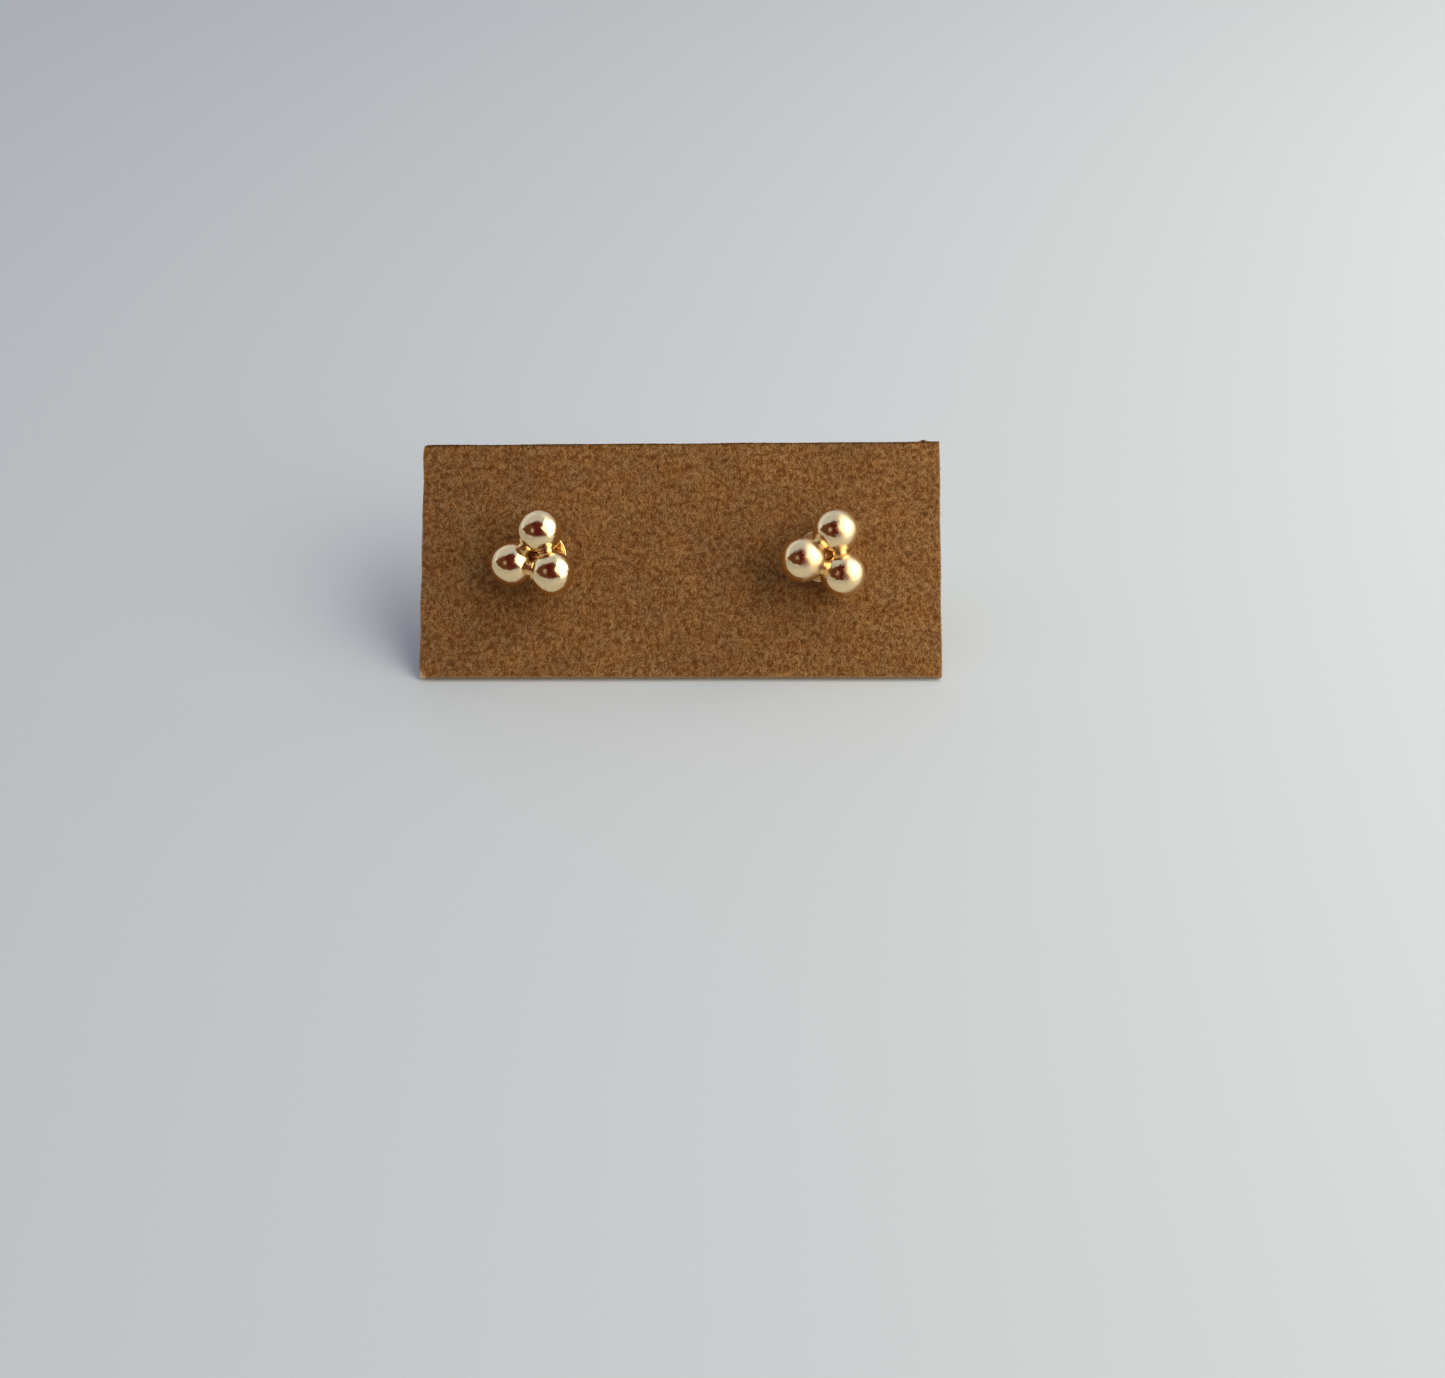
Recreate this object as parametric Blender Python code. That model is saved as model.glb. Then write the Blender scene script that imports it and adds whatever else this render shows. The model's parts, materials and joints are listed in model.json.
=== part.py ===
"""A pair of three-ball stud earrings on a small kraft card.

The card stands on its lower edge and leans back on the tips of the two posts, as it does on a table.
Metres, +Z up, +X to the viewer's right, +Y away from the viewer. The origin is the middle of the
footprint, on the surface that the card stands on.

Card coordinates are used for the layout: u to the right from the middle of the card, v up the card
from its lower edge, w out of the card from its front face.
"""

import math

import bmesh
import bpy
from mathutils import Matrix, Vector

MM = 0.001

# The card
CARD_WIDTH = 47.0 * MM
CARD_HEIGHT = 21.4 * MM
CARD_THICKNESS = 0.5 * MM
HOLE_HEIGHT = 10.98 * MM  # from the card's lower edge to the pierced holes
HOLE_CLEARANCE = 0.10 * MM  # round the post, where it passes through the card

# Where each stud sits: which side of the middle it is on, how far its hole is from that end of the
# card, and how far its balls are turned about the post
STUDS = {
    "left": {"hand": -1, "from_end": 11.39 * MM, "turn": math.radians(-14.0)},
    "right": {"hand": 1, "from_end": 10.93 * MM, "turn": math.radians(-18.0)},
}
SPLAY = math.radians(12.0)  # each head leans outwards, away from the other
DROOP = math.radians(8.0)  # and hangs down a little

# The stud: three balls soldered to one another and on a pad with a post
BALL_DIAMETER = 4.0 * MM
BALL_BITE = 0.14 * MM  # how far one ball is melted into the next
BALL_COUNT = 3
SOLDER_DIAMETER = 1.50 * MM  # the ring of solder round each contact
SOLDER_LENGTH = 0.40 * MM
PAD_DIAMETER = 4.7 * MM
PAD_THICKNESS = 0.35 * MM
PAD_EDGE = 0.10 * MM  # the rounding of its rim
POST_DIAMETER = 0.80 * MM
POST_LENGTH = 12.0 * MM  # from the pad's back to the tip
POST_SOLDER = 0.22 * MM  # the fillet between pad and post
NOTCH_DEPTH = 0.08 * MM
NOTCH_WIDTH = 0.60 * MM
NOTCH_FROM_TIP = 1.8 * MM
TIP_CHAMFER = 0.12 * MM

# The ear nut: a round base with two curled wings that grip the post
NUT_DIAMETER = 4.8 * MM
NUT_BASE_THICKNESS = 0.30 * MM
NUT_EDGE = 0.08 * MM
NUT_HUB_DIAMETER = 1.9 * MM
NUT_HUB_RISE = 0.22 * MM
WING_THICKNESS = 0.25 * MM
WING_WIDTH = 2.6 * MM
WING_TURN = math.radians(280.0)
WING_CLOSING = 0.12  # how much tighter the curl's end is than its start
WING_LEAD = 0.70 * MM  # the wing's root, bedded in the base
WING_PROUD = 0.025 * MM  # how far that root stands out of the base
GRIP_GAP = 0.05 * MM  # between the post and what it passes through in the nut

# Between the card and what leans on it, at the nearest point
REST_GAP = 0.10 * MM

# Facets
BALL_SEGMENTS = 28
BALL_RINGS = 14
TURNED_SIDES = 24
WING_STEPS = 16
ARC_STEPS = 4


# Sizes that follow from those above

BALL_RADIUS = BALL_DIAMETER / 2
PAD_RADIUS = PAD_DIAMETER / 2
POST_RADIUS = POST_DIAMETER / 2
NUT_RADIUS = NUT_DIAMETER / 2
SEAT_RADIUS = (BALL_DIAMETER - BALL_BITE) / (2 * math.sin(math.pi / BALL_COUNT))
LEAN = math.atan(math.hypot(math.tan(SPLAY), math.tan(DROOP)))  # the post's angle to the card's normal
HOLE_RADIUS = POST_RADIUS / math.cos(LEAN) + CARD_THICKNESS / 2 * math.tan(LEAN) + HOLE_CLEARANCE


def clear_of_card(radius, below=0.0):
    """How far along a leaning post, from the middle of the card's thickness, a round piece clears the card.

    Its nearest point lies at that radius from the post, and reaches that far below, square to the card.
    """
    return (CARD_THICKNESS / 2 + REST_GAP + below + radius * math.sin(LEAN)) / math.cos(LEAN)


# Heights along a post, from the middle of the card's thickness
PAD_BACK = clear_of_card(PAD_RADIUS)
PAD_FRONT = PAD_BACK + PAD_THICKNESS
BALL_HEIGHT = clear_of_card(SEAT_RADIUS, BALL_RADIUS)
POST_TIP = PAD_BACK - POST_LENGTH
NUT_FACE = -clear_of_card(NUT_RADIUS)


def post_axis(side):
    """The direction of a post, towards its head, in card coordinates."""
    return Vector((STUDS[side]["hand"] * math.tan(SPLAY), -math.tan(DROOP), 1.0)).normalized()


def hole_middle(side):
    """The middle of a stud's hole, in card coordinates."""
    u = STUDS[side]["hand"] * (CARD_WIDTH / 2 - STUDS[side]["from_end"])
    return Vector((u, HOLE_HEIGHT, -CARD_THICKNESS / 2))


def tip_height(inclination):
    """How far the lowest point of a post's tip is above the surface, for a card at that angle to it."""
    axis = post_axis("right")
    up = Vector((0.0, math.sin(inclination), math.cos(inclination)))
    hole = Vector((0.0, HOLE_HEIGHT, CARD_THICKNESS / 2))
    across = math.sqrt(1.0 - axis.dot(up) ** 2)
    rims = ((POST_RADIUS - TIP_CHAMFER, POST_TIP), (POST_RADIUS, POST_TIP + TIP_CHAMFER))
    return min((hole + axis * height).dot(up) - radius * across for radius, height in rims)


def rest_inclination():
    """The angle between the card and the surface at which the tips touch it, found by halving."""
    low, high = math.radians(5.0), math.radians(85.0)
    for _ in range(60):
        middle = (low + high) / 2
        if tip_height(middle) < 0.0:
            low = middle
        else:
            high = middle
    return (low + high) / 2


# Outlines, as (radius, height) points from the front end to the back end


def arc(radius, middle, start, stop, steps=ARC_STEPS):
    """Points of a round stretch about a middle point, from one angle to another."""
    angles = [start + (stop - start) * i / steps for i in range(steps + 1)]
    return [(middle[0] + radius * math.cos(a), middle[1] + radius * math.sin(a)) for a in angles]


def pad_and_post_profile():
    """The pad, the solder fillet, the post with its notch, and the chamfered tip."""
    tip = POST_TIP
    notch = tip + NOTCH_FROM_TIP
    front_rim = arc(PAD_EDGE, (PAD_RADIUS - PAD_EDGE, PAD_FRONT - PAD_EDGE), math.pi / 2, 0.0)
    back_rim = arc(PAD_EDGE, (PAD_RADIUS - PAD_EDGE, PAD_BACK + PAD_EDGE), 0.0, -math.pi / 2)
    solder_middle = (POST_RADIUS + POST_SOLDER, PAD_BACK - POST_SOLDER)
    solder = arc(POST_SOLDER, solder_middle, math.pi / 2, math.pi)
    shank = [
        (POST_RADIUS, notch + NOTCH_WIDTH / 2),
        (POST_RADIUS - NOTCH_DEPTH, notch + NOTCH_WIDTH / 4),
        (POST_RADIUS - NOTCH_DEPTH, notch - NOTCH_WIDTH / 4),
        (POST_RADIUS, notch - NOTCH_WIDTH / 2),
        (POST_RADIUS, tip + TIP_CHAMFER),
        (POST_RADIUS - TIP_CHAMFER, tip),
        (0.0, tip),
    ]
    return [(0.0, PAD_FRONT)] + front_rim + back_rim + solder + shank


def nut_base_profile():
    """The nut's round base with its hole and the hub around it, as a closed outline."""
    hole = POST_RADIUS + GRIP_GAP
    hub = NUT_HUB_DIAMETER / 2
    back = NUT_FACE - NUT_BASE_THICKNESS
    front_rim = arc(NUT_EDGE, (NUT_RADIUS - NUT_EDGE, NUT_FACE - NUT_EDGE), math.pi / 2, 0.0)
    back_rim = arc(NUT_EDGE, (NUT_RADIUS - NUT_EDGE, back + NUT_EDGE), 0.0, -math.pi / 2)
    return (
        [(hole, NUT_FACE)]
        + front_rim
        + back_rim
        + [(hub, back), (hole + NUT_EDGE, back - NUT_HUB_RISE), (hole, back - NUT_HUB_RISE)]
    )


def wing_outline(hand):
    """One curled wing as a closed outline of (x, z) points: a strip of even thickness along a closing curl."""
    outer = NUT_RADIUS
    radius = (outer - WING_THICKNESS - POST_RADIUS - GRIP_GAP) / 2
    middle_x = outer - WING_THICKNESS / 2 - radius
    root_z = NUT_FACE - NUT_BASE_THICKNESS - WING_PROUD + WING_THICKNESS / 2
    middle_z = root_z - radius
    line = [(WING_LEAD, root_z)]
    for i in range(WING_STEPS + 1):
        share = i / WING_STEPS
        angle = math.pi / 2 - WING_TURN * share
        r = radius * (1.0 - WING_CLOSING * share)
        line.append((middle_x + r * math.cos(angle), middle_z + r * math.sin(angle)))
    return strip(line, WING_THICKNESS, hand)


def strip(line, thickness, hand):
    """The outline of a band of that thickness along a line, mirrored in x when hand is -1."""
    sides = ([], [])
    for i, point in enumerate(line):
        before, after = line[max(i - 1, 0)], line[min(i + 1, len(line) - 1)]
        along = Vector((after[0] - before[0], after[1] - before[1])).normalized()
        across = Vector((-along.y, along.x)) * thickness / 2
        for side, sign in zip(sides, (1, -1)):
            side.append((hand * (point[0] + sign * across.x), point[1] + sign * across.y))
    return sides[0] + sides[1][::-1]


# Meshes


def turned(profile, sides):
    """A bmesh turned about Z from (radius, height) points. An end with no radius is one point."""
    bm = bmesh.new()
    rows = []
    for radius, height in profile:
        if radius == 0.0:
            rows.append([bm.verts.new((0.0, 0.0, height))])
            continue
        angles = [2 * math.pi * k / sides for k in range(sides)]
        rows.append([bm.verts.new((radius * math.cos(a), radius * math.sin(a), height)) for a in angles])
    closed = profile[0][0] != 0.0
    pairs = list(zip(rows, rows[1:])) + ([(rows[-1], rows[0])] if closed else [])
    for one, two in pairs:
        for k in range(sides):
            corners = [one[k % len(one)], one[(k + 1) % len(one)], two[(k + 1) % len(two)], two[k % len(two)]]
            bm.faces.new(list(dict.fromkeys(corners)))
    bmesh.ops.recalc_face_normals(bm, faces=bm.faces)
    return bm


def extruded(outline, low, high):
    """A bmesh of a closed outline of (x, z) points, from y = low to y = high."""
    bm = bmesh.new()
    face = bm.faces.new([bm.verts.new((x, low, z)) for x, z in outline])
    made = bmesh.ops.extrude_face_region(bm, geom=[face])["geom"]
    moved = [v for v in made if isinstance(v, bmesh.types.BMVert)]
    bmesh.ops.translate(bm, vec=(0.0, high - low, 0.0), verts=moved)
    bmesh.ops.recalc_face_normals(bm, faces=bm.faces)
    return bm


def ball(middle):
    """A bmesh of one ball, its poles along the post."""
    bm = bmesh.new()
    place = Matrix.Translation(middle)
    bmesh.ops.create_uvsphere(
        bm, u_segments=BALL_SEGMENTS, v_segments=BALL_RINGS, radius=BALL_RADIUS, matrix=place
    )
    return bm


# Objects


def add(name, bm, parent, material=None, matrix=None):
    """An object of a bmesh, smooth but for its sharp edges, placed under its parent."""
    mesh = bpy.data.meshes.new(name)
    bm.to_mesh(mesh)
    bm.free()
    mesh.shade_smooth()
    mesh.set_sharp_from_angle(angle=math.radians(40.0))
    obj = bpy.data.objects.new(name, mesh)
    bpy.context.scene.collection.objects.link(obj)
    obj.parent = parent
    if matrix is not None:
        obj.matrix_local = matrix
    if material is not None:
        mesh.materials.append(material)
    return obj


def combine(obj, tool, operation):
    """Joins a tool to an object, or cuts it away, and keeps the tool out of sight."""
    tool.hide_render = True
    tool.display_type = "WIRE"
    modifier = obj.modifiers.new(tool.name, "BOOLEAN")
    modifier.operation = operation
    modifier.solver = "EXACT"
    modifier.object = tool


def empty(name, parent=None, matrix=None):
    """A named place that other objects hang from."""
    obj = bpy.data.objects.new(name, None)
    bpy.context.scene.collection.objects.link(obj)
    obj.parent = parent
    if matrix is not None:
        obj.matrix_local = matrix
    return obj


def finish(name, colour, roughness, metallic):
    """A plain material."""
    material = bpy.data.materials.new(name)
    material.use_nodes = True
    shader = material.node_tree.nodes["Principled BSDF"]
    shader.inputs["Base Color"].default_value = (*colour, 1.0)
    shader.inputs["Roughness"].default_value = roughness
    shader.inputs["Metallic"].default_value = metallic
    return material


def stud_place(side):
    """A stud's frame: its origin in the middle of the card's hole, its Z along the post."""
    axis = post_axis(side)
    across = Vector((0.0, 1.0, 0.0)).cross(axis).normalized()
    turn = Matrix((across, axis.cross(across), axis)).transposed().to_4x4()
    return Matrix.Translation(hole_middle(side)) @ turn


def make_card(rig, material):
    """The flat card, pierced for the two posts."""
    corners = [
        (-CARD_WIDTH / 2, -CARD_THICKNESS),
        (CARD_WIDTH / 2, -CARD_THICKNESS),
        (CARD_WIDTH / 2, 0.0),
        (-CARD_WIDTH / 2, 0.0),
    ]
    card = add("card", extruded(corners, 0.0, CARD_HEIGHT), rig, material)
    reach = CARD_THICKNESS  # the cutter is twice as long as the card is thick
    profile = [(0.0, reach), (HOLE_RADIUS, reach), (HOLE_RADIUS, -reach), (0.0, -reach)]
    for side in STUDS:
        place = Matrix.Translation(hole_middle(side))
        cutter = add(side + "_hole_cutter", turned(profile, TURNED_SIDES), rig, matrix=place)
        combine(card, cutter, "DIFFERENCE")
    return card


def make_stud(side, frame, material):
    """Pad and post turned in one, with the balls and the solder between them joined on."""
    stud = add(side + "_stud", turned(pad_and_post_profile(), TURNED_SIDES), frame, material)
    radius, reach = SOLDER_DIAMETER / 2, SOLDER_LENGTH / 2
    solder = [(0.0, reach), (radius, reach), (radius, -reach), (0.0, -reach)]
    seats = []
    for i in range(BALL_COUNT):
        angle = math.pi / 2 + STUDS[side]["turn"] + 2 * math.pi * i / BALL_COUNT
        seats.append(Vector((SEAT_RADIUS * math.cos(angle), SEAT_RADIUS * math.sin(angle), BALL_HEIGHT)))
    for i, seat in enumerate(seats):
        piece = add(f"{side}_ball_{i + 1}", ball(seat), frame)
        combine(stud, piece, "UNION")
    for i, seat in enumerate(seats):
        after = seats[(i + 1) % BALL_COUNT]
        place = Matrix.Translation((seat + after) / 2) @ (after - seat).to_track_quat("Z", "Y").to_matrix().to_4x4()
        piece = add(f"{side}_solder_{i + 1}", turned(solder, TURNED_SIDES), frame, matrix=place)
        combine(stud, piece, "UNION")
    return stud


def make_ear_nut(side, frame, material):
    """The nut's base, with a curled wing joined on at each side of the post."""
    nut = add(side + "_ear_nut", turned(nut_base_profile(), TURNED_SIDES), frame, material)
    for hand, word in ((-1, "inner"), (1, "outer")):
        bm = extruded(wing_outline(hand), -WING_WIDTH / 2, WING_WIDTH / 2)
        combine(nut, add(f"{side}_{word}_wing", bm, frame), "UNION")
    return nut


def main():
    for obj in list(bpy.data.objects):
        bpy.data.objects.remove(obj, do_unlink=True)

    kraft = finish("kraft", (0.23, 0.11, 0.045), 0.9, 0.0)
    gold = finish("gold", (0.90, 0.68, 0.36), 0.16, 1.0)

    # The rig turns card coordinates into the standing pose, its lower back edge on the surface.
    inclination = rest_inclination()
    lean_back = Matrix.Rotation(inclination, 4, "X")
    lift = lean_back @ Vector((0.0, 0.0, CARD_THICKNESS))
    card_rig = empty("card_rig", matrix=Matrix.Translation(lift) @ lean_back)

    shown = [make_card(card_rig, kraft)]
    for side in STUDS:
        frame = empty(side + "_frame", card_rig, stud_place(side))
        shown.append(make_stud(side, frame, gold))
        shown.append(make_ear_nut(side, frame, gold))

    # The origin is the middle of the footprint.
    bpy.context.view_layer.update()
    ends = [(obj.matrix_world @ v.co).y for obj in shown for v in obj.data.vertices]
    card_rig.location.y -= (min(ends) + max(ends)) / 2


main()
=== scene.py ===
"""Looks of a pair of three-ball stud earrings on a small kraft card.

Shapes are made in millimetres in their own coordinates, then placed by the frame's mounts.
Card coordinates: u to the right from the middle, v up from the lower edge, w out of the front face.
Stud coordinates: z along the post towards the head, from the middle of the card's thickness.
"""

import json
import math

import bmesh
import bpy
import numpy as np
from mathutils import Matrix, Vector


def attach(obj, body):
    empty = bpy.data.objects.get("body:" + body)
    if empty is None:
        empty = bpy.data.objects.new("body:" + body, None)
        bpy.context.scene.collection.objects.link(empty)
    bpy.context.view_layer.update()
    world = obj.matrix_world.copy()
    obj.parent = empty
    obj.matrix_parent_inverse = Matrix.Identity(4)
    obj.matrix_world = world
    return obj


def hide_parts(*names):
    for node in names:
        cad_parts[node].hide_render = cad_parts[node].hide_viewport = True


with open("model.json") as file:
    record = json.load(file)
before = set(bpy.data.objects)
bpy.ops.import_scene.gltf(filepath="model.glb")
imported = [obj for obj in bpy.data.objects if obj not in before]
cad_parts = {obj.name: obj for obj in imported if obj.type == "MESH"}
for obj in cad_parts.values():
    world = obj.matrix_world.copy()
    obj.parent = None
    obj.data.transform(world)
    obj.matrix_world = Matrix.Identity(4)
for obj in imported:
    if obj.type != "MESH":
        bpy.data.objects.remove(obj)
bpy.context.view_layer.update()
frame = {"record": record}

MM = 0.001
SEED = 7

# Sizes of the real pieces, in millimetres
CARD_WIDTH = 47.0
CARD_HEIGHT = 21.4
CARD_THICKNESS = 0.5
STUDS = {
    "left": {"hand": -1, "from_end": 11.39, "turn": math.radians(-14.0)},
    "right": {"hand": 1, "from_end": 10.93, "turn": math.radians(-18.0)},
}
HOLE_HEIGHT = 10.98
POST_SPREAD = math.radians(12.0)
POST_DROOP = math.radians(8.0)
LEAN = math.atan(math.hypot(math.tan(POST_SPREAD), math.tan(POST_DROOP)))
HOLE_CLEARANCE = 0.10
REST_GAP = 0.10
BALL_RADIUS = 2.0
BALL_BITE = 0.14
BALL_COUNT = 3
PAD_RADIUS = 2.35
PAD_THICKNESS = 0.35
PAD_EDGE = 0.10
POST_RADIUS = 0.40
POST_LENGTH = 12.0
POST_SHORT_OF_PAD = 0.05
NOTCH_DEPTH = 0.08
NOTCH_WIDTH = 0.60
NOTCH_FROM_TIP = 1.8
TIP_EDGE = 0.12
NUT_RADIUS = 2.4
NUT_BASE = 0.30
NUT_EDGE = 0.10
NUT_HUB = 0.95
NUT_HUB_RISE = 0.22
WING_THICKNESS = 0.25
WING_WIDTH = 2.6
WING_TURN = math.radians(280.0)
WING_CLOSING = 0.12
WING_LEAD = 0.70
WING_PROUD = 0.025
GRIP_GAP = 0.05

# Heights along a post, worked out from those
SEAT = (2 * BALL_RADIUS - BALL_BITE) / (2 * math.sin(math.pi / BALL_COUNT))


def clear_of_card(radius, below=0.0):
    """How far along a leaning post a round piece clears the card."""
    reach = CARD_THICKNESS / 2 + REST_GAP + below + radius * math.sin(LEAN)
    return reach / math.cos(LEAN)


PAD_BACK = clear_of_card(PAD_RADIUS)
PAD_FRONT = PAD_BACK + PAD_THICKNESS
POST_HEAD = PAD_FRONT - POST_SHORT_OF_PAD
POST_TIP = PAD_BACK - POST_LENGTH
BALL_HEIGHT = clear_of_card(SEAT, BALL_RADIUS)
NUT_FACE = -clear_of_card(NUT_RADIUS)
HOLE_RADIUS = POST_RADIUS / math.cos(LEAN) + CARD_THICKNESS / 2 * math.tan(LEAN) + HOLE_CLEARANCE

# Places from the frame
mounts = {mount["name"]: mount for mount in frame["record"]["mounts"]}


def axes_to_matrix(x, y, z, place):
    """A matrix from millimetres in a piece's own axes to metres in the frame."""
    turn = Matrix((x, y, z)).transposed().to_4x4()
    return Matrix.Translation(place) @ turn @ Matrix.Scale(MM, 4)


CARD_UP = -Vector(mounts["card_bottom_edge"]["axis"]).normalized()
CARD_RIGHT = Vector((1.0, 0.0, 0.0))
CARD_OUT = CARD_RIGHT.cross(CARD_UP)
CARD_FRAME = axes_to_matrix(
    CARD_RIGHT, CARD_UP, CARD_OUT, mounts["card_bottom_edge"]["pos_m"]
) @ Matrix.Translation((0.0, 0.0, CARD_THICKNESS / 2))


def stud_frame(side):
    """From stud coordinates to the frame, by the post's tip."""
    mount = mounts[side + "_post_tip"]
    along = -Vector(mount["axis"]).normalized()
    across = CARD_UP.cross(along).normalized()
    placed = axes_to_matrix(across, along.cross(across), along, mount["pos_m"])
    return placed @ Matrix.Translation((0.0, 0.0, -POST_TIP))


# Meshes


def turned(profile, sides, matrix=None):
    """Vertices and faces turned about Z from (radius, height) points, closed at both ends."""
    verts, faces = [], []
    for radius, height in profile:
        for k in range(sides):
            angle = 2 * math.pi * k / sides
            verts.append(Vector((radius * math.cos(angle), radius * math.sin(angle), height)))
    for row in range(len(profile) - 1):
        for k in range(sides):
            after = (k + 1) % sides
            low, high = row * sides, (row + 1) * sides
            faces.append((low + k, low + after, high + after, high + k))
    faces.append(tuple(range(sides))[::-1])
    faces.append(tuple((len(profile) - 1) * sides + k for k in range(sides)))
    if matrix is not None:
        verts = [matrix @ v for v in verts]
    return verts, faces


def ball_shape(centre, radius, sides=40):
    """A closed ball for the casting, without poles."""
    rows = sides // 2
    angles = [math.pi * (i + 0.5) / rows for i in range(rows)]
    profile = [(radius * math.sin(a), -radius * math.cos(a)) for a in angles]
    return turned(profile, sides, Matrix.Translation(centre))


def joined_mesh(name, shapes):
    """One mesh of several closed shapes."""
    verts, faces = [], []
    for shape_verts, shape_faces in shapes:
        start = len(verts)
        verts += [tuple(v) for v in shape_verts]
        faces += [tuple(i + start for i in face) for face in shape_faces]
    mesh = bpy.data.meshes.new(name)
    mesh.from_pydata(verts, [], faces)
    bm = bmesh.new()
    bm.from_mesh(mesh)
    bmesh.ops.recalc_face_normals(bm, faces=bm.faces)
    bm.to_mesh(mesh)
    bm.free()
    return mesh


def evaluated_mesh(obj):
    """The mesh of an object with its modifiers, as new data."""
    depsgraph = bpy.context.evaluated_depsgraph_get()
    return bpy.data.meshes.new_from_object(obj.evaluated_get(depsgraph), depsgraph=depsgraph)


def coordinates(mesh):
    """A mesh's vertices as an array."""
    flat = np.empty(len(mesh.vertices) * 3, dtype=np.float32)
    mesh.vertices.foreach_get("co", flat)
    return flat.reshape(-1, 3).astype(np.float64)


def in_frame(points, matrix):
    """A piece's points in the frame, with none below the surface that the card stands on."""
    placed = points @ np.array(matrix.to_3x3()).T + np.array(matrix.translation)
    placed[:, 2] = np.maximum(placed[:, 2], 0.0)
    return placed


def gradient(field, points, step=0.004):
    """The slope of a distance field at each point."""
    slopes = np.empty_like(points)
    for axis in range(3):
        shift = np.zeros(3)
        shift[axis] = step
        slopes[:, axis] = (field(points + shift) - field(points - shift)) / (2 * step)
    return slopes


DRAWS = 7  # times that each point is drawn to the surface
LEAST_STEEPNESS = 0.25
LONGEST_DRAW = 0.5  # of a voxel


def cast(name, shapes, field, matrix, voxel, material, node):
    """One smooth solid: the shapes fused, then every point drawn onto the field's surface."""
    rough = bpy.data.objects.new(name + "_rough", joined_mesh(name + "_rough", shapes))
    bpy.context.scene.collection.objects.link(rough)
    remesh = rough.modifiers.new("fuse", "REMESH")
    remesh.mode = "VOXEL"
    remesh.voxel_size = voxel
    remesh.adaptivity = 0.0
    mesh = evaluated_mesh(rough)
    mesh.name = name
    bpy.data.objects.remove(rough, do_unlink=True)

    points = coordinates(mesh)
    longest = LONGEST_DRAW * voxel
    for _ in range(DRAWS):
        slopes = gradient(field, points)
        steepness = np.maximum((slopes ** 2).sum(axis=1), LEAST_STEEPNESS)
        move = field(points) / steepness
        points -= np.clip(move, -longest, longest)[:, None] * slopes
    normals = gradient(field, points)
    normals /= np.linalg.norm(normals, axis=1)[:, None]

    turn = np.array(matrix.to_3x3()) / MM
    mesh.vertices.foreach_set("co", in_frame(points, matrix).astype(np.float32).ravel())
    mesh.update()
    mesh.shade_smooth()
    mesh.normals_split_custom_set_from_vertices((normals @ turn.T).tolist())
    keep_places(mesh, points)
    place_piece(name, mesh, material, node)


def keep_places(mesh, points):
    """Stores each point's own coordinates, in millimetres, for the material to read."""
    attribute = mesh.attributes.new("place_mm", "FLOAT_VECTOR", "POINT")
    attribute.data.foreach_set("vector", points.astype(np.float32).ravel())


def place_piece(name, mesh, material, node=None):
    """A piece of the object, which may stand for a CAD node."""
    piece = bpy.data.objects.new(name, mesh)
    bpy.context.scene.collection.objects.link(piece)
    mesh.materials.clear()
    mesh.materials.append(material)
    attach(piece, "root")
    if node:
        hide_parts(node)


# Distance fields, in millimetres

SOLDER = 0.30  # how softly two balls run into one another
POOL = {"radius": 0.62, "below": 0.95}  # the solder between the three balls, from their middle height
NECK = {"radius": 0.70, "half": 0.2}  # the short rod that joins two balls before the casting
POST_FILLET = 0.22
BALL_FILLET = 0.10
HUB_FILLET = 0.12
WING_FILLET = 0.06
WING_EDGE = 0.07
NOTCH_SPREAD = 0.42  # of the notch's width, from its middle to where its sides rise
TIP_SMOOTH = (0.3, 1.0)  # from the post's tip, where the unevenness starts and is full
# The metal's slight unevenness: its seed, how many waves, how long and how deep
STUD_WAVES = {"seed": SEED, "count": 14, "length": 1.3, "size": 0.0035}
NUT_WAVES = {"seed": SEED + 20, "count": 10, "length": 1.6, "size": 0.003}


def blend_min(one, two, soft):
    """The nearer of two distances, rounded where they meet."""
    share = np.clip(0.5 + 0.5 * (two - one) / soft, 0.0, 1.0)
    return two * (1.0 - share) + one * share - soft * share * (1.0 - share)


def rounded_disc(points, radius, low, high, edge):
    """A disc about Z with a rounded rim."""
    middle, half = (low + high) / 2, (high - low) / 2
    out = np.hypot(points[:, 0], points[:, 1]) - (radius - edge)
    up = np.abs(points[:, 2] - middle) - (half - edge)
    outside = np.hypot(np.maximum(out, 0.0), np.maximum(up, 0.0))
    return np.minimum(np.maximum(out, up), 0.0) + outside - edge


def soft_step(low, high, values):
    """0 below low, 1 above high, and smooth between."""
    share = np.clip((values - low) / (high - low), 0.0, 1.0)
    return share * share * (3.0 - 2.0 * share)


def waves(seed, count, length):
    """A few plane waves at random, for slight unevenness: directions and phases."""
    rng = np.random.default_rng(seed)
    directions = rng.normal(size=(count, 3))
    directions /= np.linalg.norm(directions, axis=1)[:, None]
    lengths = length * rng.uniform(0.7, 1.5, size=(count, 1))
    return directions * (2 * math.pi / lengths), rng.uniform(0.0, 2 * math.pi, size=count)


def unevenness(points, wave):
    """The sum of the waves at each point, about -1 to 1."""
    directions, phases = wave
    return np.sin(points @ directions.T + phases).sum(axis=1) / math.sqrt(len(phases))


def seats(side):
    """The middles of a stud's balls."""
    angles = [
        math.pi / 2 + STUDS[side]["turn"] + 2 * math.pi * i / BALL_COUNT for i in range(BALL_COUNT)
    ]
    return [np.array((SEAT * math.cos(a), SEAT * math.sin(a), BALL_HEIGHT)) for a in angles]


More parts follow.
